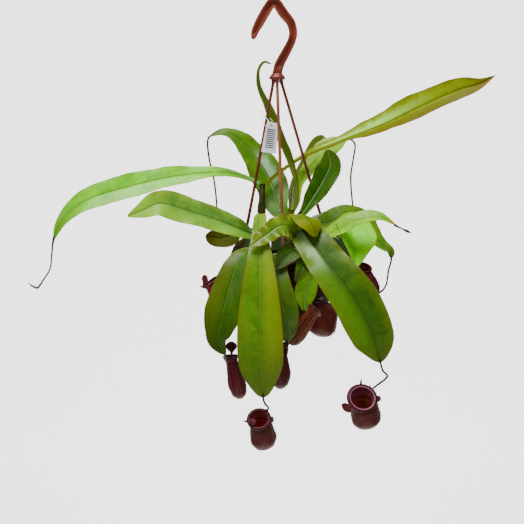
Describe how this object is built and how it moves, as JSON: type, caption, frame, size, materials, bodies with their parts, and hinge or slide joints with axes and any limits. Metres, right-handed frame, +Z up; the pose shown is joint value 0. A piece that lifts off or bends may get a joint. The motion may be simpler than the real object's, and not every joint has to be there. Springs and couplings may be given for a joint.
{
  "type": "hanging pitcher plant",
  "caption": "Tropical pitcher plant with strap leaves and dark hooded pitchers, in a round pot on a moulded three-armed hanger with a hook.",
  "frame": {"origin": "middle of the flat seat inside the top of the hook, where the plant hangs from its rail", "axes": "+Z up, -Y the front, +X to the right seen from the front"},
  "size_m": [0.5736, 0.2702, 0.5292],
  "materials": {
    "hanger_plastic": "brick red-brown moulded plastic, satin",
    "pot_plastic": "dark red-brown moulded plastic",
    "soil": "damp bark and peat mix with pale grit",
    "stem": "olive-brown stem with leaf scars",
    "leaf_green": "waxy mid-green leaf",
    "leaf_dark": "waxy dark green leaf with a sheen",
    "leaf_lime": "waxy yellow-green leaf",
    "leaf_pale": "waxy pale green leaf",
    "leaf_olive": "olive leaf, older or curled",
    "leaf_blue": "bluish grey-green leaf",
    "pitcher_wine": "wine-brown pitcher skin, glossy rim",
    "pitcher_rust": "rust-brown pitcher skin",
    "tendril": "thin dark brown tendril",
    "tag_paper": "white coated card"
  },
  "bodies": {
    "root": {"hanger_hook": "hanger_plastic", "hanger_arm_front": "hanger_plastic", "hanger_arm_right": "hanger_plastic", "hanger_arm_left": "hanger_plastic", "pot": "pot_plastic", "soil": "soil", "stem_left": "stem", "stem_centre": "stem", "stem_right": "stem", "stem_front": "stem", "leaf_long_left": "leaf_pale", "leaf_second_left": "leaf_pale", "leaf_olive_left": "leaf_olive", "leaf_upper_left": "leaf_dark", "leaf_tall_curled": "leaf_olive", "leaf_long_right": "leaf_lime", "leaf_pale_right": "leaf_lime", "leaf_round_tip": "leaf_dark", "leaf_upright_right": "leaf_dark", "leaf_back_right": "leaf_blue", "leaf_bright_right": "leaf_lime", "leaf_lime_folded": "leaf_lime", "leaf_big_right": "leaf_green", "leaf_centre": "leaf_green", "leaf_left_hanging": "leaf_dark", "leaf_blue": "leaf_blue", "leaf_ruffled": "leaf_lime", "leaf_hood": "leaf_olive", "leaf_inner_grey": "leaf_blue", "leaf_inner_curled": "leaf_dark", "leaf_inner_bright": "leaf_lime", "leaf_left_under": "leaf_dark", "leaf_rear_left": "leaf_green", "leaf_rear_centre": "leaf_green", "leaf_rear_right": "leaf_dark", "pitcher_low_right": "pitcher_wine", "tendril_low_right": "tendril", "pitcher_low_left": "pitcher_wine", "tendril_low_left": "tendril", "pitcher_left": "pitcher_wine", "tendril_left": "tendril", "pitcher_inner_right": "pitcher_wine", "tendril_inner_right": "tendril", "pitcher_upper_left": "pitcher_wine", "tendril_upper_left": "tendril", "pitcher_right": "pitcher_wine", "tendril_right": "tendril", "pitcher_under_right": "pitcher_wine", "tendril_under_right": "tendril", "pitcher_rust": "pitcher_rust", "tendril_rust": "tendril", "pitcher_rear": "pitcher_wine", "tendril_rear": "tendril", "tag": "tag_paper", "tag_tie": "tag_paper"}
  },
  "joints": []
}
